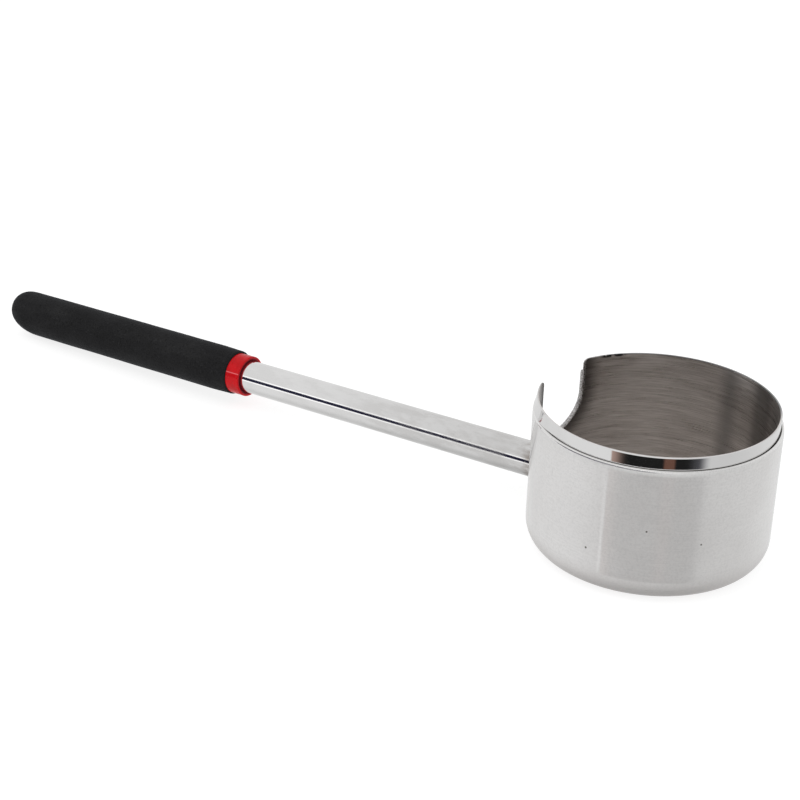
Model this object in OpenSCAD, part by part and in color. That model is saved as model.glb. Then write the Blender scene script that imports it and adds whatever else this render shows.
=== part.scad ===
// Long-handled melting pot for candle wax.
// A thin drawn cup sits in a thicker outer jacket. A tube handle is welded to
// the jacket, and carries a plastic collar and a closed-end foam grip.
// Origin: centre of the base. +Z is up and the handle runs along -X.

/* [Pot] */
// Outside diameter of the outer jacket
pot_d = 106; // [90:0.5:140]
// Height from the base to the top edge of the outer jacket
jacket_h = 62.2; // [58:0.1:90]
// Height from the base to the rim of the inner cup
rim_h = 67.8; // [64:0.1:100]
// Outside radius of the rounded bottom corner
corner_r = 10.8; // [6:0.1:14]
// Wall thickness of the outer jacket
jacket_t = 1.5; // [1:0.1:2.5]
// Wall thickness of the inner cup
cup_t = 0.8; // [0.6:0.1:1.5]

/* [Notch] */
// Width of the U-shaped notch in the rim
notch_w = 32.4; // [20:0.1:40]
// Height from the base to the bottom of the notch
notch_floor_h = 35.6; // [35:0.1:50]
// Rounding of the notch's two corners at the rim
notch_lip_r = 3; // [0.5:0.1:4]
// Turn of the notch about the pot's axis, away from the handle's plane
notch_turn = -4.7; // [-15:0.1:15]

/* [Handle tube] */
// Outside diameter of the tube
tube_d = 16; // [12:0.5:20]
// Wall thickness of the tube
tube_t = 1.2; // [0.8:0.1:1.5]
// Height of the tube's axis, carried on to the pot's own axis
handle_h = 24; // [22:0.1:30]
// Width of the weld bead, measured out from the tube
weld_w = 1.4; // [0.8:0.1:2]

/* [Grip] */
// Distance from the pot's axis to the collar's face, along the handle
collar_start = 221.9; // [150:0.1:300]
// Length of the collar that shows in front of the foam
collar_l = 7.7; // [4:0.1:12]
// Outside diameter of the collar
collar_d = 20.2; // [19.5:0.1:22]
// Outside diameter of the foam grip
grip_d = 23; // [22:0.1:30]
// Distance from the pot's axis to the closed end of the grip, along the handle
grip_end = 383.4; // [330:0.1:480]

/* [Hidden] */

fine = 180;     // facets of the pot's round shapes
medium = 96;    // facets of the handle's round shapes
layer_gap = 0.03;   // slack between the cup and the jacket around it
overcut = 1;    // extra length on a tool that cuts right through

// Pot
pot_r = pot_d / 2;
jacket_inner_r = pot_r - jacket_t;
cup_r = jacket_inner_r - layer_gap;
cup_floor_z = jacket_t + layer_gap;
jacket_edge_r = 1.1;    // rounding of the jacket's top edge, outside
jacket_groove = 0.35;   // chamfer of the jacket's top edge, inside

// Notch
notch_r = notch_w / 2;
notch_centre_z = notch_floor_h + notch_r;
lip_rise = 0.12;    // the rounding meets the rim at a slight angle

// Handle: the droop lets the grip's round end touch the same surface as the base
tube_r = tube_d / 2;
grip_r = grip_d / 2;
grip_ball_x = grip_end - grip_r;
droop = asin((handle_h - grip_r) / grip_ball_x);
grip_start = collar_start + collar_l;
grip_wall_end = 7.4;    // foam between the plug and the closed end
grip_lip_r = 0.8;       // rounding of the foam's open end
weld_l = 1.4;           // length of the weld bead along the tube

// End plug: a flange against the tube's end and a stem inside the tube
plug_flange_l = 2;
plug_stem_l = 12;
plug_fit = 0.05;
tube_end = grip_end - grip_wall_end - plug_flange_l;

// Collar: a ring that shows, and a sleeve under the mouth of the foam
collar_sleeve_l = 8;
collar_sleeve_r = tube_r + 1.1;
collar_chamfer = 0.7;
collar_edge_r = 0.4;
fit_gap = 0.03;     // slack between the tube and what is pushed over it

// ---------------------------------------------------------------- shared shapes

// Outline of a pot: flat floor, rounded corner, straight wall
module pot_outline(r, corner, top) {
    square([r - corner, top]);
    translate([0, corner]) square([r, top - corner]);
    translate([r - corner, corner]) circle(corner, $fn = fine);
}

// Outline of the notch: half-round floor, straight sides, rounded corners at the rim
module notch_outline() {
    lip_z = rim_h - notch_lip_r + lip_rise;
    translate([0, notch_centre_z]) circle(notch_r, $fn = fine);
    translate([-notch_r, notch_centre_z]) square([notch_w, rim_h]);
    for (side = [-1, 1])
        scale([side, 1]) translate([notch_r, lip_z]) difference() {
            translate([-overcut, 0]) square([notch_lip_r + overcut, notch_lip_r]);
            translate([notch_lip_r, 0]) circle(notch_lip_r, $fn = medium);
        }
}

// Cutting tool for the notch, which passes through the wall at one side only
module notch_tool() {
    rotate([0, 0, notch_turn]) translate([-pot_r - overcut, 0, 0])
        rotate([90, 0, 90]) linear_extrude(pot_r) notch_outline();
}

// Lays a part that is built along +Z, from the pot's axis, along the handle
module along_handle() {
    translate([0, 0, handle_h]) rotate([0, -90 - droop, 0]) children();
}

// Space taken by the jacket's straight wall, to shape what is welded to it
module pot_wall_tool() {
    translate([0, 0, -pot_r]) cylinder(h = 4 * pot_r, r = pot_r, $fn = fine);
}

// Straight ring built along +Z from z0 to z1
module ring(z0, z1, outer, inner) {
    translate([0, 0, z0]) difference() {
        cylinder(h = z1 - z0, r = outer, $fn = medium);
        translate([0, 0, -overcut]) cylinder(h = z1 - z0 + 2 * overcut, r = inner, $fn = medium);
    }
}

// ---------------------------------------------------------------- parts

// Drawn cup that holds the wax: its top stands out of the jacket as the neck
module inner_cup() {
    outer_corner = corner_r - jacket_t;
    color([0.78, 0.78, 0.78]) difference() {
        translate([0, 0, cup_floor_z]) rotate_extrude($fn = fine) difference() {
            pot_outline(cup_r, outer_corner, rim_h - cup_floor_z);
            translate([0, cup_t])
                pot_outline(cup_r - cup_t, outer_corner - cup_t, rim_h);
        }
        notch_tool();
    }
}

// Thicker jacket around the cup: carries the handle and the base
module outer_jacket() {
    color([0.83, 0.82, 0.81]) difference() {
        rotate_extrude($fn = fine) difference() {
            pot_outline(pot_r, corner_r, jacket_h);
            translate([0, jacket_t])
                pot_outline(jacket_inner_r, corner_r - jacket_t, jacket_h);
            // rounded outer edge
            translate([pot_r - jacket_edge_r, jacket_h - jacket_edge_r]) difference() {
                square(jacket_edge_r + overcut);
                circle(jacket_edge_r, $fn = medium);
            }
            // chamfer that leaves a fine groove beside the neck
            polygon([
                [jacket_inner_r - overcut, jacket_h + overcut],
                [jacket_inner_r - overcut, jacket_h - jacket_groove - overcut],
                [jacket_inner_r + jacket_groove + overcut, jacket_h + overcut]
            ]);
        }
        notch_tool();
    }
}

// Steel tube, shaped to the jacket at one end and square at the other
module handle_tube() {
    color([0.85, 0.85, 0.86]) difference() {
        along_handle() ring(pot_r - 4, tube_end, tube_r, tube_r - tube_t);
        pot_wall_tool();
    }
}

// Fillet of weld metal around the tube where it meets the jacket
module weld_bead() {
    slope = weld_w / weld_l;
    base = pot_r - 2;
    tip = pot_r + weld_l + overcut;
    tip_r = tube_r - overcut * slope;
    color([0.62, 0.58, 0.55]) difference() {
        along_handle() translate([0, 0, base])
            cylinder(h = tip - base, r1 = tip_r + (tip - base) * slope, r2 = tip_r, $fn = medium);
        along_handle() translate([0, 0, base - overcut])
            cylinder(h = tip - base + 2 * overcut, r = tube_r, $fn = medium);
        pot_wall_tool();
    }
}

// Plastic collar that finishes the front of the grip
module collar() {
    outer = collar_d / 2;
    bore = tube_r + fit_gap;
    sleeve_end = grip_start + collar_sleeve_l;
    color([0.79, 0.09, 0.13]) along_handle() rotate_extrude($fn = medium) difference() {
        union() {
            translate([bore, collar_start]) square([outer - bore, collar_l]);
            translate([bore, collar_start]) square([collar_sleeve_r - bore, sleeve_end - collar_start]);
        }
        // rounded outer edge
        translate([outer - collar_edge_r, collar_start + collar_edge_r]) difference() {
            translate([0, -overcut - collar_edge_r]) square(collar_edge_r + overcut);
            circle(collar_edge_r, $fn = medium);
        }
        // chamfered bore
        polygon([
            [bore - overcut, collar_start - overcut],
            [bore + collar_chamfer + overcut, collar_start - overcut],
            [bore - overcut, collar_start + collar_chamfer + overcut]
        ]);
    }
}

// Plastic plug that closes the tube, so that its edge can't cut the foam
module tube_end_plug() {
    color([0.15, 0.15, 0.16]) along_handle() {
        translate([0, 0, tube_end]) cylinder(h = plug_flange_l, r = tube_r, $fn = medium);
        translate([0, 0, tube_end - plug_stem_l])
            cylinder(h = plug_stem_l, r = tube_r - tube_t - plug_fit, $fn = medium);
    }
}

// Soft foam sleeve with a round closed end, pushed over the tube and the plug
module foam_grip() {
    bore_end = tube_end + plug_flange_l;
    mouth_r = collar_sleeve_r + fit_gap;
    mouth_end = grip_start + collar_sleeve_l + fit_gap;
    color([0.12, 0.12, 0.13]) along_handle() rotate_extrude($fn = medium) difference() {
        union() {
            translate([0, grip_start]) square([grip_r, grip_ball_x - grip_start]);
            intersection() {
                translate([0, grip_ball_x]) circle(grip_r, $fn = medium);
                translate([0, grip_ball_x - grip_r]) square(2 * grip_r);
            }
        }
        translate([-1, grip_start - overcut])
            square([1 + tube_r + fit_gap, bore_end + fit_gap - grip_start + overcut]);
        translate([-1, grip_start - overcut])
            square([1 + mouth_r, mouth_end - grip_start + overcut]);
        // rounded lip at the open end
        translate([grip_r - grip_lip_r, grip_start + grip_lip_r]) difference() {
            translate([0, -overcut - grip_lip_r]) square(grip_lip_r + overcut);
            circle(grip_lip_r, $fn = medium);
        }
    }
}

inner_cup();
outer_jacket();
handle_tube();
weld_bead();
collar();
tube_end_plug();
foam_grip();
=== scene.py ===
"""Looks of a long-handled candle melting pot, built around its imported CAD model."""

import math
import random

import bmesh
import bpy
from mathutils import Matrix, Vector, noise


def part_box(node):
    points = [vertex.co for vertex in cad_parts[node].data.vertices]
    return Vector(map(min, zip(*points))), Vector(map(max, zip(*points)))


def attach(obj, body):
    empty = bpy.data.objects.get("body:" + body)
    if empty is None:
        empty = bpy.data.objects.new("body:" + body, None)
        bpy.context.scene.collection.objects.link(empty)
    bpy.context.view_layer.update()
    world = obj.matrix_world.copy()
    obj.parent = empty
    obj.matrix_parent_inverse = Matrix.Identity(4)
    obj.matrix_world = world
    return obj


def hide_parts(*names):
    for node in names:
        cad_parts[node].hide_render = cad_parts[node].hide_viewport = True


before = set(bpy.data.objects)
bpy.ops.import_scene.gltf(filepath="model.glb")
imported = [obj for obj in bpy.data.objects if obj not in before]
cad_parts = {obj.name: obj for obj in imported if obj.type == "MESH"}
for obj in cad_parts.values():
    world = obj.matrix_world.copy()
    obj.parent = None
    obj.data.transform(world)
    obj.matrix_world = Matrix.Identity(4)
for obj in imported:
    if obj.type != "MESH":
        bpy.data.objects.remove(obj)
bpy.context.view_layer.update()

MM = 0.001
TAU = 2 * math.pi

# ------------------------------------------------------------------ sizes from the frame

jacket_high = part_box("outer_jacket")[1]
cup_low, cup_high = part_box("inner_cup")
grip_low, grip_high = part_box("foam_grip")
collar_low, collar_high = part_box("collar")

POT_R = jacket_high.x
CUP_R = cup_high.x
JACKET_TOP = jacket_high.z
RIM = cup_high.z
CUP_FLOOR = cup_low.z
CORNER_R = 10.8 * MM
CUP_T = 0.8 * MM
JACKET_T = 1.5 * MM

NOTCH_R = 16.2 * MM
NOTCH_CENTRE_Z = 51.8 * MM
NOTCH_LIP_R = 2.5 * MM
NOTCH_AZIMUTH = math.radians(180 - 4.7)
EDGE_WIDTH = 0.12 * MM  # rounding of the shells' sharp edges

TUBE_R = 8 * MM
GRIP_R = (grip_high.y - grip_low.y) / 2
COLLAR_R = (collar_high.y - collar_low.y) / 2
COLLAR_START = 221.9 * MM
GRIP_START = COLLAR_START + 7.7 * MM
GRIP_END = 383.4 * MM
PARTING_ANGLE = math.radians(155)
HANDLE_H = 24 * MM
DROOP = math.asin((HANDLE_H - GRIP_R) / (GRIP_END - GRIP_R))


# ------------------------------------------------------------------ small helpers

def smooth(low, high, value):
    """0 below low, 1 above high, and a smooth step between them."""
    t = min(max((value - low) / (high - low), 0.0), 1.0)
    return t * t * (3 - 2 * t)


def handle_point(along, across, up):
    """A point given along the handle's axis from the pot's axis, and square to it."""
    c, s = math.cos(DROOP), math.sin(DROOP)
    return Vector((-along * c - up * s, across, HANDLE_H - along * s + up * c))


def new_object(name, mesh):
    piece = bpy.data.objects.new(name, mesh)
    bpy.context.scene.collection.objects.link(piece)
    return piece


def mesh_from(name, points, faces):
    mesh = bpy.data.meshes.new(name)
    mesh.from_pydata(points, [], faces)
    mesh.validate()
    return mesh


def face_outwards(mesh):
    """Turns the faces of a closed mesh outwards."""
    bm = bmesh.new()
    bm.from_mesh(mesh)
    bmesh.ops.recalc_face_normals(bm, faces=bm.faces)
    bm.to_mesh(mesh)
    bm.free()


def shade(piece, angle=40):
    """Smooth shading, with edges sharper than angle kept sharp."""
    mesh = piece.data
    mesh.shade_smooth()
    mesh.set_sharp_from_angle(angle=math.radians(angle))


# ------------------------------------------------------------------ node helpers

class Material:
    """A procedural material on one Principled shader, with short calls for its nodes."""

    def __init__(self, name):
        self.material = bpy.data.materials.new(name)
        self.material.use_nodes = True
        self.tree = self.material.node_tree
        self.shader = self.tree.nodes["Principled BSDF"]
        self.place = self.node("ShaderNodeTexCoord").outputs["Object"]

    def node(self, kind, **settings):
        made = self.tree.nodes.new(kind)
        for key, value in settings.items():
            setattr(made, key, value)
        return made

    def feed(self, socket, value):
        if isinstance(value, bpy.types.NodeSocket):
            self.tree.links.new(value, socket)
        else:
            socket.default_value = value

    def set(self, **values):
        """Sets sockets of the shader by name, with _ for a space."""
        for key, value in values.items():
            self.feed(self.shader.inputs[key.replace("_", " ")], value)

    def math(self, operation, a, b=0.0, c=0.0):
        made = self.node("ShaderNodeMath", operation=operation)
        for socket, value in zip(made.inputs, (a, b, c)):
            self.feed(socket, value)
        return made.outputs[0]

    def mapped(self, scale):
        """The place, scaled apart on each axis."""
        made = self.node("ShaderNodeMapping")
        self.feed(made.inputs["Vector"], self.place)
        made.inputs["Scale"].default_value = scale
        return made.outputs[0]

    def noise(self, vector, scale, detail=3.0, roughness=0.55):
        made = self.node("ShaderNodeTexNoise")
        self.feed(made.inputs["Vector"], vector)
        made.inputs["Scale"].default_value = scale
        made.inputs["Detail"].default_value = detail
        made.inputs["Roughness"].default_value = roughness
        return made.outputs["Fac"]

    def ramp(self, value, low, high, out_low=0.0, out_high=1.0):
        made = self.node("ShaderNodeMapRange", interpolation_type="SMOOTHSTEP")
        self.feed(made.inputs["Value"], value)
        made.inputs["From Min"].default_value = low
        made.inputs["From Max"].default_value = high
        made.inputs["To Min"].default_value = out_low
        made.inputs["To Max"].default_value = out_high
        return made.outputs[0]

    def window(self, value, low, high, soft):
        """1 where value is between low and high, with soft sides."""
        rise = self.ramp(value, low - soft, low + soft)
        return self.math("MULTIPLY", rise, self.ramp(value, high - soft, high + soft, 1.0, 0.0))

    def mix(self, factor, a, b):
        made = self.node("ShaderNodeMix", data_type="RGBA")
        self.feed(made.inputs["Factor"], factor)
        self.feed(made.inputs[6], a)
        self.feed(made.inputs[7], b)
        return made.outputs[2]

    def blend(self, factor, a, b):
        made = self.node("ShaderNodeMix", data_type="FLOAT")
        self.feed(made.inputs["Factor"], factor)
        self.feed(made.inputs[2], a)
        self.feed(made.inputs[3], b)
        return made.outputs[0]

    def bump(self, height, distance, strength):
        made = self.node("ShaderNodeBump")
        self.feed(made.inputs["Height"], height)
        made.inputs["Distance"].default_value = distance
        made.inputs["Strength"].default_value = strength
        return made.outputs[0]

    def xyz(self):
        made = self.node("ShaderNodeSeparateXYZ")
        self.feed(made.inputs[0], self.place)
        return made.outputs

    def joined(self, x, y, z):
        made = self.node("ShaderNodeCombineXYZ")
        for socket, value in zip(made.inputs, (x, y, z)):
            self.feed(socket, value)
        return made.outputs[0]

    def round_place(self):
        """Radius from the pot's axis, arc length round it and height, as three values."""
        x, y, z = self.xyz()
        squares = self.math("ADD", self.math("MULTIPLY", x, x), self.math("MULTIPLY", y, y))
        radius = self.math("SQRT", squares)
        arc = self.math("MULTIPLY", self.math("ARCTAN2", y, x), POT_R)
        return radius, arc, z

    def notch_distance(self):
        """Distance from the notch's middle line, and 1 on the notch's side of the pot."""
        x, y, z = self.xyz()
        c, s = math.cos(NOTCH_AZIMUTH), math.sin(NOTCH_AZIMUTH)
        across = self.math("SUBTRACT", self.math("MULTIPLY", y, c), self.math("MULTIPLY", x, s))
        outward = self.math("ADD", self.math("MULTIPLY", x, c), self.math("MULTIPLY", y, s))
        below = self.math("MINIMUM", self.math("SUBTRACT", z, NOTCH_CENTRE_Z), 0.0)
        squares = self.math("ADD", self.math("MULTIPLY", across, across),
                            self.math("MULTIPLY", below, below))
        return self.math("SQRT", squares), self.ramp(outward, 10 * MM, 20 * MM)

    def cut_edge(self, distance, notch_side):
        """1 on the notch's cut edge, from what notch_distance gives."""
        near = self.ramp(distance, NOTCH_R + 0.25 * MM, NOTCH_R + 0.1 * MM)
        return self.math("MULTIPLY", notch_side, near)

    def handle_place(self):
        """Distance along the handle, radius from its axis and angle round it."""
        x, y, z = self.xyz()
        c, s = math.cos(DROOP), math.sin(DROOP)
        rise = self.math("SUBTRACT", z, HANDLE_H)
        along = self.math("ADD", self.math("MULTIPLY", x, -c), self.math("MULTIPLY", rise, -s))
        up = self.math("ADD", self.math("MULTIPLY", x, -s), self.math("MULTIPLY", rise, c))
        squares = self.math("ADD", self.math("MULTIPLY", y, y), self.math("MULTIPLY", up, up))
        return along, self.math("SQRT", squares), self.math("ARCTAN2", up, y)

    def wall_spot(self, azimuth, height, size):
        """1 at a place on the pot's wall, given in degrees and metres, and 0 beyond size."""
        a = math.radians(azimuth)
        centre = (POT_R * math.cos(a), POT_R * math.sin(a), height)
        gap = self.node("ShaderNodeVectorMath", operation="DISTANCE")
        self.feed(gap.inputs[0], self.place)
        gap.inputs[1].default_value = centre
        return self.ramp(gap.outputs["Value"], size, 0.6 * size)


def grey(value, warm=0.0):
    return (value * (1 + warm), value, value * (1 - warm), 1)


# ------------------------------------------------------------------ materials

def cup_steel():
    """Mirror-polished neck, brushed inside, and rough grey cut edges at the notch."""
    m = Material("cup_steel")
    radius, arc, z = m.round_place()
    inside = m.ramp(radius, CUP_R - 0.3 * CUP_T, CUP_R - 0.7 * CUP_T)
    around = m.joined(m.math("MULTIPLY", arc, 70.0), m.math("MULTIPLY", z, 3400.0),
                      m.math("MULTIPLY", radius, 900.0))
    fine_lines = m.noise(around, 1.0, 4.0, 0.65)
    broad = m.joined(m.math("MULTIPLY", arc, 40.0), m.math("MULTIPLY", z, 420.0), 0.0)
    broad_lines = m.noise(broad, 1.0, 3.0, 0.6)
    stain = m.noise(m.place, 38.0, 4.0)
    lines = m.math("ADD", m.math("MULTIPLY", fine_lines, 0.65), m.math("MULTIPLY", broad_lines, 0.35))
    brushed = m.mix(m.ramp(lines, 0.36, 0.66), (0.50, 0.475, 0.455, 1), (0.84, 0.80, 0.775, 1))
    azimuth = m.math("DIVIDE", arc, POT_R)
    # two dark patches on the inside wall, painted reflections, in radians round it
    dull = m.math("MAXIMUM", m.window(azimuth, 1.28, 1.44, 0.08),
                  m.window(azimuth, 0.80, 1.06, 0.07))
    brushed = m.mix(m.math("MULTIPLY", dull, 0.65), brushed, (0.28, 0.275, 0.275, 1))
    brushed = m.mix(m.ramp(stain, 0.5, 0.75, 0.0, 0.3), brushed, (0.46, 0.42, 0.40, 1))
    distance, notch_side = m.notch_distance()
    # painted shade: the inside is darkened towards the notch
    painted_notch_shade = m.math("MULTIPLY", notch_side,
                    m.ramp(distance, NOTCH_R + 9 * MM, NOTCH_R + 0.5 * MM, 0.0, 0.8))
    brushed = m.mix(painted_notch_shade, brushed, (0.09, 0.08, 0.075, 1))
    polished = m.mix(m.ramp(stain, 0.4, 0.7), grey(0.82, 0.005), grey(0.76, 0.006))
    # the groove's shadow is left out where the neck is pressed out over it
    pressed_middle, pressed_half = -2.53, 0.42
    turn = m.math("ABSOLUTE", m.math("SUBTRACT", azimuth, pressed_middle))
    groove = m.math("MULTIPLY", m.ramp(z, JACKET_TOP + 0.2 * MM, JACKET_TOP + 0.05 * MM),
                    m.math("GREATER_THAN", turn, pressed_half))
    polished = m.mix(groove, polished, grey(0.10, 0.05))
    tone = m.mix(inside, polished, brushed)
    # painted shade: a dark line along the rim's edge on the far side
    painted_rim_shade = m.math("MULTIPLY", m.window(azimuth, 0.45, 2.6, 0.15),
                       m.ramp(z, RIM - 0.3 * MM, RIM - 0.15 * MM))
    tone = m.mix(painted_rim_shade, tone, grey(0.25))
    flecks = m.noise(m.place, 1500.0, 4.0, 0.7)
    cut = m.cut_edge(distance, notch_side)
    edge_tone = m.mix(m.ramp(flecks, 0.4, 0.65), (0.14, 0.12, 0.11, 1), grey(0.55, 0.01))
    tone = m.mix(cut, tone, edge_tone)
    nick = m.math("MULTIPLY", m.wall_spot(141, RIM, 7.5 * MM),
                  m.ramp(z, RIM - 1.6 * MM, RIM - 0.5 * MM))
    patches = m.ramp(m.noise(m.place, 420.0, 3.0), 0.42, 0.5)
    nick = m.math("MULTIPLY", nick, m.math("MULTIPLY", inside, patches))
    tone = m.mix(nick, tone, grey(0.03))
    m.set(Base_Color=tone, Metallic=1.0)
    rough_in = m.ramp(lines, 0.3, 0.7, 0.24, 0.40)
    rough_out = m.ramp(stain, 0.35, 0.7, 0.04, 0.08)
    m.set(Roughness=m.blend(cut, m.blend(inside, rough_out, rough_in), 0.45))
    scratch = m.math("MULTIPLY", lines, m.blend(inside, 0.03, 1.0))
    height = m.math("ADD", scratch, m.math("MULTIPLY", flecks, m.math("MULTIPLY", cut, 2.0)))
    m.set(Normal=m.bump(height, 0.05 * MM, 0.6))
    return m.material


def jacket_steel():
    """Satin steel with a brighter gloss over it, fine grain, small pits and a faint smear."""
    m = Material("jacket_steel")
    radius, arc, z = m.round_place()
    around = m.joined(m.math("MULTIPLY", arc, 60.0), m.math("MULTIPLY", z, 2600.0), 0.0)
    lines = m.noise(around, 1.0, 5.0, 0.65)
    upright = m.joined(m.math("MULTIPLY", arc, 260.0), m.math("MULTIPLY", z, 30.0), 0.0)
    streaks = m.noise(upright, 1.0, 4.0, 0.6)
    cloud = m.noise(m.place, 22.0, 5.0)
    tone = m.mix(m.ramp(cloud, 0.35, 0.7), grey(0.90, 0.010), grey(0.84, 0.014))
    grain = m.noise(m.place, 950.0, 3.0, 0.7)
    tone = m.mix(m.ramp(grain, 0.42, 0.66, 0.0, 0.30), tone, grey(0.66, 0.014))
    tone = m.mix(m.ramp(streaks, 0.5, 0.8, 0.0, 0.2), tone, grey(0.76, 0.01))
    tone = m.mix(m.ramp(lines, 0.35, 0.65, 0.22, 0.0), tone, grey(0.66, 0.01))
    smear = m.math("MULTIPLY", m.wall_spot(247, 47 * MM, 4 * MM),
                   m.ramp(streaks, 0.5, 0.62, 0.0, 0.3))
    tone = m.mix(smear, tone, grey(0.30, 0.02))
    pit = m.wall_spot(268, 21 * MM, 0.62 * MM)
    for azimuth, height in ((295, 34.5), (320, 28.5), (20, 17), (98, 40), (150, 26)):
        pit = m.math("MAXIMUM", pit, m.wall_spot(azimuth, height * MM, 0.5 * MM))
    tone = m.mix(pit, tone, grey(0.13, 0.1))
    # painted shade: the wall darkens towards the base
    tone = m.mix(m.ramp(z, 15 * MM, 3 * MM, 0.0, 0.62), tone, (0.56, 0.53, 0.515, 1))
    # painted reflection: a brownish band along the base's edge
    tone = m.mix(m.ramp(z, 3 * MM, 0.2 * MM, 0.0, 0.6), tone, (0.40, 0.32, 0.30, 1))
    distance, notch_side = m.notch_distance()
    flecks = m.noise(m.place, 1500.0, 4.0, 0.7)
    cut = m.cut_edge(distance, notch_side)
    edge_tone = m.mix(m.ramp(flecks, 0.4, 0.65), (0.24, 0.22, 0.21, 1), grey(0.66, 0.01))
    tone = m.mix(cut, tone, edge_tone)
    m.set(Base_Color=tone, Metallic=1.0, Coat_Roughness=0.04, Coat_IOR=2.0)
    m.set(Coat_Weight=m.ramp(z, 2 * MM, 14 * MM, 0.2, 1.0))
    satin = m.ramp(m.math("ADD", lines, cloud), 0.7, 1.4, 0.50, 0.62)
    top_edge = m.ramp(z, JACKET_TOP - 1.0 * MM, JACKET_TOP - 0.6 * MM)
    m.set(Roughness=m.blend(top_edge, satin, 0.16))
    height = m.math("ADD", m.math("MULTIPLY", lines, 0.4), m.math("MULTIPLY", grain, 0.5))
    height = m.math("SUBTRACT", height, m.math("MULTIPLY", pit, 2.0))
    m.set(Normal=m.bump(height, 0.02 * MM, 0.4))
    return m.material


def tube_steel():
    """Polished drawn tube with lengthways lines, dulled and tinted towards the weld."""
    m = Material("tube_steel")
    x, y, z = m.xyz()
    near_pot = m.ramp(x, -200 * MM, -56 * MM)
    weld_end = m.ramp(x, -66 * MM, -54 * MM)
    along = m.mapped((18, 900, 900))
    lines = m.noise(along, 1.0, 4.0, 0.6)
    mottle = m.noise(m.mapped((60, 160, 160)), 1.0, 5.0, 0.65)
    dull = m.math("ADD", m.math("MULTIPLY", near_pot, 0.7), 0.2)
    dull = m.math("MULTIPLY", m.ramp(mottle, 0.40, 0.62), dull)
    tone = m.mix(near_pot, grey(0.84, 0.004), grey(0.72, 0.006))
    tone = m.mix(dull, tone, grey(0.62, 0.015))
    heat_mark = m.math("MULTIPLY", weld_end, m.ramp(mottle, 0.35, 0.6))
    tone = m.mix(heat_mark, tone, (0.30, 0.26, 0.235, 1))
    m.set(Base_Color=tone, Metallic=1.0)
    polish = m.ramp(lines, 0.3, 0.7, 0.045, 0.09)
    m.set(Roughness=m.math("ADD", m.math("MULTIPLY", dull, 0.14), polish))
    m.set(Normal=m.bump(lines, 0.01 * MM, 0.4))
    return m.material


def weld_metal():
    """Weld metal with straw and brown heat tint."""
    m = Material("weld_metal")
    mottle = m.noise(m.place, 260.0, 5.0, 0.65)
    tone = m.mix(m.ramp(mottle, 0.35, 0.65), grey(0.62, 0.02), (0.36, 0.30, 0.25, 1))
    m.set(Base_Color=tone, Metallic=1.0, Roughness=m.ramp(mottle, 0.3, 0.7, 0.2, 0.45))
    m.set(Normal=m.bump(mottle, 0.08 * MM, 0.6))
    return m.material


def collar_plastic():
    """Red moulding with a low sheen and a raised seam line painted lighter as a highlight, and a dull
    face and bore painted darker as shade.
    """
    m = Material("collar_plastic")
    along, radius, angle = m.handle_place()
    mottle = m.noise(m.place, 220.0, 4.0)
    scuff = m.noise(m.mapped((900, 260, 260)), 1.0, 4.0)
    tone = m.mix(m.ramp(mottle, 0.35, 0.7), (0.50, 0.004, 0.008, 1), (0.41, 0.003, 0.006, 1))
    # painted shade: the end face and bore are coloured dark; the same mask also makes them rougher
    face = m.math("MULTIPLY", m.ramp(radius, COLLAR_R - 0.8 * MM, COLLAR_R - 1.1 * MM),
                  m.ramp(along, GRIP_START - 0.4 * MM, GRIP_START - 0.8 * MM))
    tone = m.mix(face, tone, (0.19, 0.005, 0.012, 1))
    line = m.math("ABSOLUTE", m.math("SINE", m.math("SUBTRACT", angle, PARTING_ANGLE)))
    outside = m.ramp(radius, COLLAR_R - 0.3 * MM, COLLAR_R - 0.1 * MM)
    parting_and_highlight = m.math("MULTIPLY", m.ramp(line, 0.035, 0.012), outside)
    # painted highlight: the seam line along the collar is coloured lighter pink, over the slight ridge
    # that the bump gives it
    tone = m.mix(m.math("MULTIPLY", parting_and_highlight, 0.5), tone, (0.85, 0.22, 0.24, 1))
    m.set(Base_Color=tone, Roughness=m.blend(face, m.ramp(scuff, 0.35, 0.75, 0.16, 0.32), 0.6))
    m.set(Specular_IOR_Level=0.14)
    height = m.math("ADD", mottle, m.math("MULTIPLY", parting_and_highlight, 3.0))
    m.set(Normal=m.bump(height, 0.03 * MM, 0.4))
    return m.material


def grip_foam():
    """Matte black closed-cell foam: fine cells, uneven skin and a little grey bloom."""
    m = Material("grip_foam")
    cells = m.node("ShaderNodeTexVoronoi", feature="SMOOTH_F1")
    m.feed(cells.inputs["Vector"], m.place)
    cells.inputs["Scale"].default_value = 1300.0
    cell = cells.outputs["Distance"]
    grain = m.noise(m.place, 620.0, 5.0, 0.7)
    bloom = m.noise(m.mapped((40, 90, 90)), 1.0, 5.0, 0.65)
    tone = m.mix(m.ramp(bloom, 0.4, 0.7), (0.0085, 0.0085, 0.009, 1), (0.014, 0.014, 0.0145, 1))
    tone = m.mix(m.ramp(grain, 0.52, 0.75, 0.0, 0.6), tone, (0.032, 0.032, 0.033, 1))
    tone = m.mix(m.ramp(cell, 0.45, 0.75, 0.0, 0.6), tone, (0.003, 0.003, 0.003, 1))
    m.set(Base_Color=tone, Roughness=m.ramp(grain, 0.3, 0.7, 0.75, 0.95))
    m.set(Specular_IOR_Level=0.16, Sheen_Weight=0.05, Sheen_Roughness=0.35)
    m.set(Sheen_Tint=(0.8, 0.85, 1.0, 1))
    height = m.math("ADD", m.math("MULTIPLY", cell, 0.7), m.math("MULTIPLY", grain, 0.6))
    m.set(Normal=m.bump(height, 0.25 * MM, 0.8))
    return m.material


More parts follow.
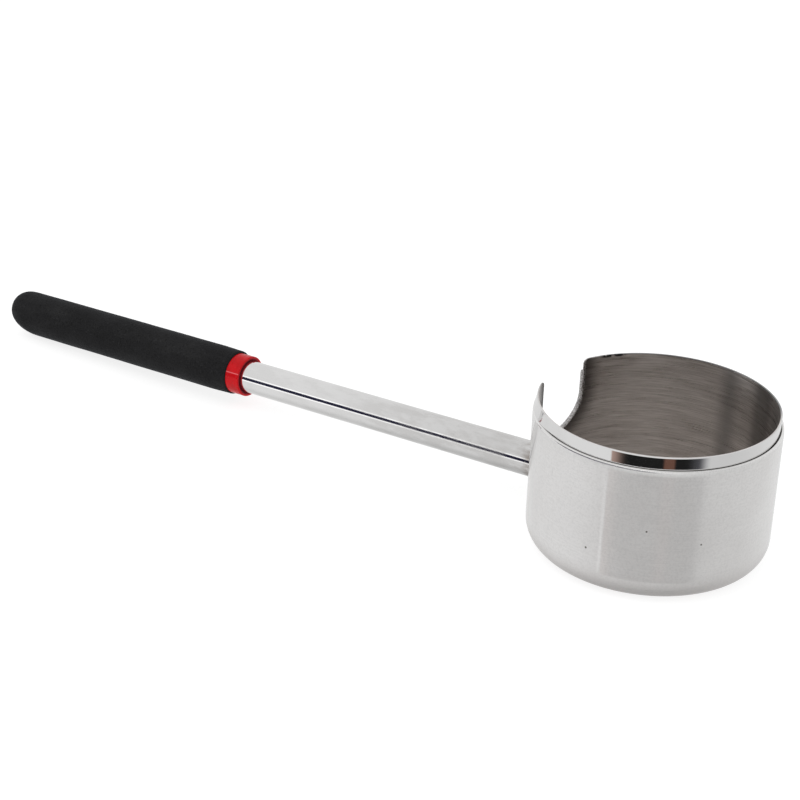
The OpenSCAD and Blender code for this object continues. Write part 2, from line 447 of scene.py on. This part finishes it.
def plug_plastic():
    """Matte black moulding with a faint spark-eroded grain."""
    m = Material("plug_plastic")
    grain = m.noise(m.place, 900.0, 4.0)
    tone = m.mix(m.ramp(grain, 0.3, 0.7), (0.02, 0.02, 0.02, 1), (0.035, 0.035, 0.037, 1))
    m.set(Base_Color=tone)
    m.set(Roughness=m.ramp(grain, 0.3, 0.7, 0.5, 0.7), Normal=m.bump(grain, 0.05 * MM, 0.5))
    return m.material


# ------------------------------------------------------------------ pot shells

def notch_offset(azimuth):
    """Distance across the notch, at the outside of the pot, for an azimuth."""
    turn = (azimuth - NOTCH_AZIMUTH + math.pi) % TAU - math.pi
    return POT_R * math.sin(turn) if abs(turn) < math.pi / 2 else POT_R


def wall_azimuths():
    """Azimuths of the wall's columns, closer at the notch, and how many lie in the notch."""
    half_count, corner_count, outer_count = 28, 8, 300
    side = math.asin(NOTCH_R / POT_R)
    lip = math.asin((NOTCH_R + NOTCH_LIP_R) / POT_R)
    inner = [side * math.sin(math.pi / 2 * i / half_count) for i in range(-half_count, half_count + 1)]
    bends = [math.pi / 2 * i / corner_count for i in range(1, corner_count + 1)]
    corner = [side + (lip - side) * (1 - math.cos(bend)) for bend in bends]
    outer = [lip + (TAU - 2 * lip) * i / outer_count for i in range(1, outer_count)]
    turns = inner + corner + outer + [TAU - c for c in reversed(corner)]
    return [NOTCH_AZIMUTH + t for t in turns], len(inner)


def column_top(azimuth, top):
    """Height of the wall's top edge outside the notch, with the notch's rounded corner."""
    beyond = NOTCH_R + NOTCH_LIP_R - abs(notch_offset(azimuth))
    if beyond <= 0:
        return top
    beyond = min(beyond, NOTCH_LIP_R)
    corner = RIM - NOTCH_LIP_R + math.sqrt(max(NOTCH_LIP_R ** 2 - beyond ** 2, 0))
    return min(top, corner)


def notch_floor(azimuth):
    """Height of the notch's floor for an azimuth inside the notch."""
    offset = min(abs(notch_offset(azimuth)), NOTCH_R)
    return NOTCH_CENTRE_Z - math.sqrt(max(NOTCH_R ** 2 - offset ** 2, 0))


def upper_share(row, rows, top):
    """Share of the way from the notch's centre to the top edge, closer at the jacket's top."""
    low_rows = rows // 3
    step = (JACKET_TOP - 0.4 * MM - NOTCH_CENTRE_Z) / (top - NOTCH_CENTRE_Z)
    if row <= low_rows:
        return step * row / low_rows
    rest = (row - low_rows) / (rows - low_rows)
    return step + (1 - step) * rest ** 1.5


def shell_sheet(radius_at, floor_z, corner, base_r, top, verts):
    """One surface of a pot shell as a grid: adds its points to verts and returns its faces.

    The grid has a flat base, a rounded corner and a wall. Below the notch's centre
    every column has the same rows; above it only the columns outside the notch go on.
    """
    azimuths, notch_count = wall_azimuths()
    base_rows, corner_rows, low_rows, high_rows = 8, 14, 26, 24
    count = len(azimuths)
    centre = len(verts)
    verts.append(Vector((0, 0, floor_z)))
    grid = []
    for index, azimuth in enumerate(azimuths):
        in_notch = index < notch_count
        at_side = index in (0, notch_count - 1)
        direction = Vector((math.cos(azimuth), math.sin(azimuth), 0))
        low_top = notch_floor(azimuth) if in_notch and not at_side else NOTCH_CENTRE_Z
        column = []
        flat_r = base_r - corner
        for row in range(1, base_rows + 1):
            column.append(direction * flat_r * row / base_rows + Vector((0, 0, floor_z)))
        for row in range(1, corner_rows + 1):
            bend = math.pi / 2 * row / corner_rows
            r = flat_r + corner * math.sin(bend)
            column.append(direction * r + Vector((0, 0, floor_z + corner * (1 - math.cos(bend)))))
        for row in range(1, low_rows + 1):
            z = floor_z + corner + (low_top - floor_z - corner) * row / low_rows
            column.append(direction * radius_at(azimuth, z) + Vector((0, 0, z)))
        if at_side or not in_notch:
            column_high = column_top(azimuth, top)
            for row in range(1, high_rows + 1):
                share = upper_share(row, high_rows, top)
                z = NOTCH_CENTRE_Z + (column_high - NOTCH_CENTRE_Z) * share
                column.append(direction * radius_at(azimuth, z) + Vector((0, 0, z)))
        first = len(verts)
        verts.extend(column)
        grid.append(list(range(first, first + len(column))))
    faces = []
    for index in range(count):
        here, after = grid[index], grid[(index + 1) % count]
        faces.append((centre, here[0], after[0]))
        for row in range(min(len(here), len(after)) - 1):
            faces.append((here[row], here[row + 1], after[row + 1], after[row]))
    return faces


def open_edges(faces):
    """Edges that only one face uses, each in that face's direction."""
    used = {}
    for face in faces:
        for a, b in zip(face, face[1:] + face[:1]):
            used[(a, b)] = True
    return [(a, b) for (a, b) in used if (b, a) not in used]


def pot_shell(name, outer_at, inner_at, floors, corners, base_radii, top):
    """A closed shell between an outer and an inner surface, with rounded edges."""
    verts = []
    outer_faces = shell_sheet(outer_at, floors[0], corners[0], base_radii[0], top, verts)
    step = len(verts)
    inner_faces = shell_sheet(inner_at, floors[1], corners[1], base_radii[1], top, verts)
    faces = [tuple(reversed(face)) for face in outer_faces]
    rim = [(b, a, a + step, b + step) for a, b in open_edges(faces)]
    faces = faces + inner_faces + rim
    mesh = mesh_from(name, verts, faces)
    bm = bmesh.new()
    bm.from_mesh(mesh)
    bmesh.ops.recalc_face_normals(bm, faces=bm.faces)
    sharp_angle = math.radians(50)
    sharp = [e for e in bm.edges if len(e.link_faces) == 2 and e.calc_face_angle() > sharp_angle]
    bmesh.ops.bevel(bm, geom=sharp, offset=EDGE_WIDTH, segments=3, profile=0.5, affect="EDGES",
                    clamp_overlap=True)
    bm.to_mesh(mesh)
    bm.free()
    return new_object(name, mesh)


def jacket_outer(azimuth, z):
    """Radius of the jacket's outside, rounded in at its top edge."""
    edge = 0.9 * MM
    rise = z - (JACKET_TOP - edge)
    if rise <= 0:
        return POT_R
    return POT_R - edge + math.sqrt(max(edge ** 2 - rise ** 2, 0))


def jacket_inner(azimuth, z):
    """Radius of the jacket's inside, opened at the top into a fine groove beside the neck."""
    groove = 0.5 * MM
    return POT_R - JACKET_T + min(max(z - (JACKET_TOP - groove), 0), 0.9 * groove)


def cup_outer(azimuth, z):
    """Radius of the cup's outside: the neck is pressed out beside the near end of the notch."""
    pressed_by = 1.25 * MM
    turn = math.degrees(azimuth) % 360
    near_notch = smooth(186, 196, turn) * (1 - smooth(222, 246, turn))
    above = z - JACKET_TOP
    height = RIM - JACKET_TOP
    rise = smooth(-0.35 * MM, 0.25 * MM, above)
    lean = (1 - min(max(above / height, 0), 1)) ** 1.4
    return CUP_R + pressed_by * near_notch * rise * lean


def build_jacket():
    corners = (CORNER_R, CORNER_R - JACKET_T)
    piece = pot_shell("jacket_shell", jacket_outer, jacket_inner, (0, JACKET_T), corners,
                      (POT_R, POT_R - JACKET_T), JACKET_TOP)
    shade(piece)
    return piece


def build_cup():
    corner = CORNER_R - JACKET_T
    floors = (CUP_FLOOR, CUP_FLOOR + CUP_T)
    corners = (corner, corner - CUP_T)
    piece = pot_shell("cup_shell", cup_outer, lambda a, z: CUP_R - CUP_T, floors, corners,
                      (CUP_R, CUP_R - CUP_T), RIM)
    shade(piece)
    return piece


# ------------------------------------------------------------------ weld and grip

def build_weld():
    """A rippled fillet that follows the joint between the tube and the jacket."""
    rng = random.Random(7)
    steps, bow = 160, 7
    ripples, ripple_depth = 30, 0.10
    width_on_wall, length_on_tube = 1.3 * MM, 1.2 * MM
    crown = 0.12 * MM
    reach = 1.2 * MM
    sink = 0.05 * MM
    buried = 0.3 * MM
    wobble = [rng.uniform(0.9, 1.12) for _ in range(18)]
    verts = []
    faces = []
    for step in range(steps):
        angle = TAU * step / steps
        share = step / steps * len(wobble)
        size = wobble[int(share) % len(wobble)]
        size = size + (wobble[(int(share) + 1) % len(wobble)] - size) * smooth(0, 1, share % 1)
        ripple = 1 + ripple_depth * math.sin(angle * ripples)
        across, up = math.cos(angle), math.sin(angle)
        wall = math.sqrt(POT_R ** 2 - (TUBE_R * across) ** 2)
        wall_far = math.sqrt(POT_R ** 2 - ((TUBE_R + reach) * across) ** 2)
        for k in range(bow + 1):
            t = math.pi / 2 * k / bow
            out = width_on_wall * size * ripple * (1 - math.sin(t))
            along = length_on_tube * size * ripple * (1 - math.cos(t))
            lift = crown * math.sin(2 * t)
            base = wall + (wall_far - wall) * out / reach
            r = TUBE_R - sink + out + lift
            verts.append(handle_point(base - sink + along + lift, r * across, r * up))
        r = TUBE_R - buried
        verts.append(handle_point(wall - buried, r * across, r * up))
    section = bow + 2
    for step in range(steps):
        here, after = step * section, (step + 1) % steps * section
        for k in range(section):
            n = (k + 1) % section
            faces.append((here + k, after + k, after + n, here + n))
    mesh = mesh_from("weld_ripple", verts, faces)
    face_outwards(mesh)
    piece = new_object("weld_ripple", mesh)
    shade(piece, 60)
    return piece


FOAM_LIP = 0.9 * MM     # rounding of the foam's mouth
FOAM_END = 22 * MM      # length at the closed end with closer rings


def grip_radius(along, angle):
    """Radius of the foam's outside: a rounded mouth, a plain length, and an end that
    tapers over a longer stretch on its underside."""
    lip = FOAM_LIP
    mouth = min(max((GRIP_START + lip - along) / lip, 0), 1)
    flare = smooth(0, 14 * MM, along - GRIP_START)
    plain = GRIP_R - 0.45 * MM + 0.3 * MM * flare - lip * (1 - math.sqrt(1 - mouth ** 2))
    under = (1 - math.sin(angle)) / 2
    cap = GRIP_R + 9 * MM * under
    end_share = min(max((along - (GRIP_END - cap)) / cap, 0), 1)
    power = 2.5 - 0.5 * under
    return plain * (1 - end_share ** power) ** (1 / power)


def foam_skin(along, angle, radius):
    """How far the foam's skin lies below its nominal surface: slow waves, and fine cells."""
    here = 1000 * Vector((along, radius * math.cos(angle), radius * math.sin(angle)))
    waves = max(0.0, noise.noise(here * 0.045) * 0.16 + 0.16) * 0.5
    skin = max(0.0, noise.noise(here * 0.5)) * 0.05
    cells = max(0.0, noise.noise(here * 1.9)) * 0.05
    return (waves + skin + cells) * MM


def ring_points(along, radius_at, count):
    angles = [TAU * k / count for k in range(count)]
    return [(along, angle, radius_at(along, angle)) for angle in angles]


def build_grip():
    """Foam sleeve: a closed-end outside with an uneven, finely pitted skin, and its mouth."""
    around, lip_rings, plain_rings, end_rings = 150, 7, 280, 56
    lift = 0.2 * MM
    start, end = GRIP_START, GRIP_END
    quarter = math.pi / 2
    plain_start, plain_end = start + FOAM_LIP, end - FOAM_END
    steps = [start + FOAM_LIP * (1 - math.cos(quarter * k / lip_rings)) for k in range(lip_rings + 1)]
    plain = plain_end - plain_start
    steps += [plain_start + plain * k / plain_rings for k in range(1, plain_rings + 1)]
    steps += [plain_end + FOAM_END * math.sin(quarter * k / end_rings) for k in range(1, end_rings)]
    bore = TUBE_R + 1.15 * MM
    bore_end = start + 6 * MM
    chamfer = 0.5 * MM
    rings = [ring_points(bore_end, lambda a, t: bore, around),
             ring_points(start + chamfer, lambda a, t: bore, around),
             ring_points(start, lambda a, t: bore + chamfer, around)]
    skins = [ring_points(along, grip_radius, around) for along in steps]
    verts = []
    for ring in rings:
        verts += [handle_point(a, r * math.cos(t), r * math.sin(t)) for a, t, r in ring]
    for ring in skins:
        for along, angle, radius in ring:
            r = radius - foam_skin(along, angle, radius) * smooth(0, 3 * MM, radius)
            verts.append(handle_point(along, r * math.cos(angle), r * math.sin(angle) + lift))
    faces = []
    count = len(rings) + len(skins)
    for row in range(count - 1):
        for k in range(around):
            n = (k + 1) % around
            here, after = row * around, (row + 1) * around
            faces.append((here + k, here + n, after + n, after + k))
    for row, along in ((0, bore_end), (count - 1, end - 0.05 * MM)):
        tip = len(verts)
        verts.append(handle_point(along, 0, 0))
        for k in range(around):
            faces.append((row * around + k, row * around + (k + 1) % around, tip))
    mesh = mesh_from("grip_foam", verts, faces)
    face_outwards(mesh)
    piece = new_object("grip_foam", mesh)
    shade(piece, 60)
    return piece


# ------------------------------------------------------------------ studio

CAM_AZIMUTH = 33.84
CAM_ELEVATION = 25.455
CAM_ROLL = 1.83
CAM_LENS = 81.16
# Where the base's centre lies from the camera: to the right, below, and ahead
CAM_RIGHT = 107.52 * MM
CAM_BELOW = 62.2 * MM
CAM_AHEAD = 791.1 * MM


def add_camera():
    azimuth, elevation, roll = (math.radians(a) for a in (CAM_AZIMUTH, CAM_ELEVATION, CAM_ROLL))
    ahead = Vector((-math.sin(azimuth) * math.cos(elevation), math.cos(azimuth) * math.cos(elevation),
                    -math.sin(elevation)))
    level = Vector((math.cos(azimuth), math.sin(azimuth), 0))
    above = level.cross(ahead)
    right = level * math.cos(roll) + above * math.sin(roll)
    up = above * math.cos(roll) - level * math.sin(roll)
    camera = bpy.data.objects.new("camera", bpy.data.cameras.new("camera"))
    camera.data.lens = CAM_LENS
    camera.data.sensor_width = 36
    camera.data.clip_start = 0.01
    axes = Matrix((right, up, -ahead)).transposed().to_4x4()
    place = up * CAM_BELOW - right * CAM_RIGHT - ahead * CAM_AHEAD
    camera.matrix_world = Matrix.Translation(place) @ axes
    bpy.context.scene.collection.objects.link(camera)
    bpy.context.scene.camera = camera


def add_floor():
    """A large pale floor that glows a little and isn't seen in reflections."""
    size = 12
    corners = [(-size, -size, 0), (size, -size, 0), (size, size, 0), (-size, size, 0)]
    floor = new_object("floor", mesh_from("floor", corners, [(0, 1, 2, 3)]))
    m = Material("pale_floor")
    m.set(Base_Color=(0.28, 0.28, 0.28, 1), Roughness=0.9, Specular_IOR_Level=0.1)
    m.set(Emission_Color=(1, 1, 1, 1), Emission_Strength=0.80)
    floor.data.materials.append(m.material)
    floor.visible_glossy = False


class World(Material):
    """The same node calls on the world's tree."""

    def __init__(self):
        world = bpy.data.worlds.new("studio")
        world.use_nodes = True
        bpy.context.scene.world = world
        self.tree = world.node_tree
        self.shader = self.tree.nodes["Background"]
        self.place = self.node("ShaderNodeTexCoord").outputs["Generated"]


def add_world():
    """An even pale surround. Only reflections see the studio, with its opening and gap."""
    w = World()
    x, y, z = w.xyz()
    azimuth = w.math("MODULO", w.math("ADD", w.math("ARCTAN2", y, x), TAU), TAU)
    azimuth = w.math("DEGREES", azimuth)
    height = w.math("DEGREES", w.math("ARCSINE", z))
    # walls: darker towards +X, and below
    side = w.math("SUBTRACT", 1.0, w.math("MAXIMUM", w.ramp(azimuth, 300, 345), w.ramp(azimuth, 80, 5)))
    level = w.math("MULTIPLY", w.blend(side, 0.66, 0.81), w.ramp(height, -80, -38, 0.62, 1.0))
    # opening: brown on one side, black, with a copper strip, and fading on the other side
    opening = w.math("MULTIPLY", w.ramp(azimuth, 254.5, 256.5), w.ramp(azimuth, 350, 337))
    opening = w.math("MULTIPLY", opening, w.window(height, -33.5, -23.5, 1.0))
    brown = w.ramp(azimuth, 275, 255)
    brown = w.math("MULTIPLY", brown, brown)
    opening_colour = w.mix(brown, (0.014, 0.014, 0.014, 1), (0.42, 0.30, 0.26, 1))
    opening_colour = w.mix(w.window(azimuth, 305, 315, 1.5), opening_colour, (0.15, 0.075, 0.055, 1))
    opening_colour = w.mix(w.ramp(azimuth, 325, 342), opening_colour, (0.09, 0.09, 0.10, 1))
    # gap: a dark band with bright edges
    sector = w.window(azimuth, 200, 300, 8)
    fringe = w.math("MULTIPLY", sector, w.window(height, -11, 17, 1.0))
    gap = w.math("MULTIPLY", sector, w.window(height, -5, 11, 0.7))
    # glint: a thin bright line beside the opening
    glint = w.math("MULTIPLY", w.window(azimuth, 252.3, 254, 0.5), w.window(height, -34, -28, 0.7))
    studio = w.joined(level, level, level)
    studio = w.mix(fringe, studio, (1.3, 1.3, 1.3, 1))
    studio = w.mix(glint, studio, (1.5, 1.5, 1.5, 1))
    studio = w.mix(gap, studio, (0.02, 0.02, 0.045, 1))
    studio = w.mix(opening, studio, opening_colour)
    path = w.node("ShaderNodeLightPath")
    w.set(Color=w.mix(path.outputs["Is Glossy Ray"], (0.9, 0.9, 0.9, 1), studio), Strength=1.0)


def add_lights():
    """Two soft lamps that shade the matt parts and aren't seen in the metal."""
    lamps = (("key", (-0.7, -0.9, 1.5), 1.4, 7), ("fill", (1.1, -0.3, 1.2), 1.2, 3))
    for name, place, size, power in lamps:
        light = bpy.data.lights.new(name, "AREA")
        light.size = size
        light.energy = power
        lamp = bpy.data.objects.new(name, light)
        lamp.location = place
        lamp.rotation_euler = (-Vector(place)).to_track_quat("-Z", "Y").to_euler()
        lamp.visible_glossy = False
        bpy.context.scene.collection.objects.link(lamp)


# ------------------------------------------------------------------ assembly

def dress(node, material):
    """Gives a CAD node that stays a finished material."""
    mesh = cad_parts[node].data
    mesh.materials.clear()
    mesh.materials.append(material)


def stand_in(piece, node, material):
    """A new piece that shows in place of a CAD node."""
    piece.data.materials.append(material)
    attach(piece, "root")
    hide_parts(node)


add_camera()
add_floor()
add_world()
add_lights()

dress("handle_tube", tube_steel())
dress("collar", collar_plastic())
dress("tube_end_plug", plug_plastic())
stand_in(build_cup(), "inner_cup", cup_steel())
stand_in(build_jacket(), "outer_jacket", jacket_steel())
stand_in(build_weld(), "weld_bead", weld_metal())
grip = build_grip()
stand_in(grip, "foam_grip", grip_foam())

bpy.context.scene.view_settings.view_transform = "Standard"
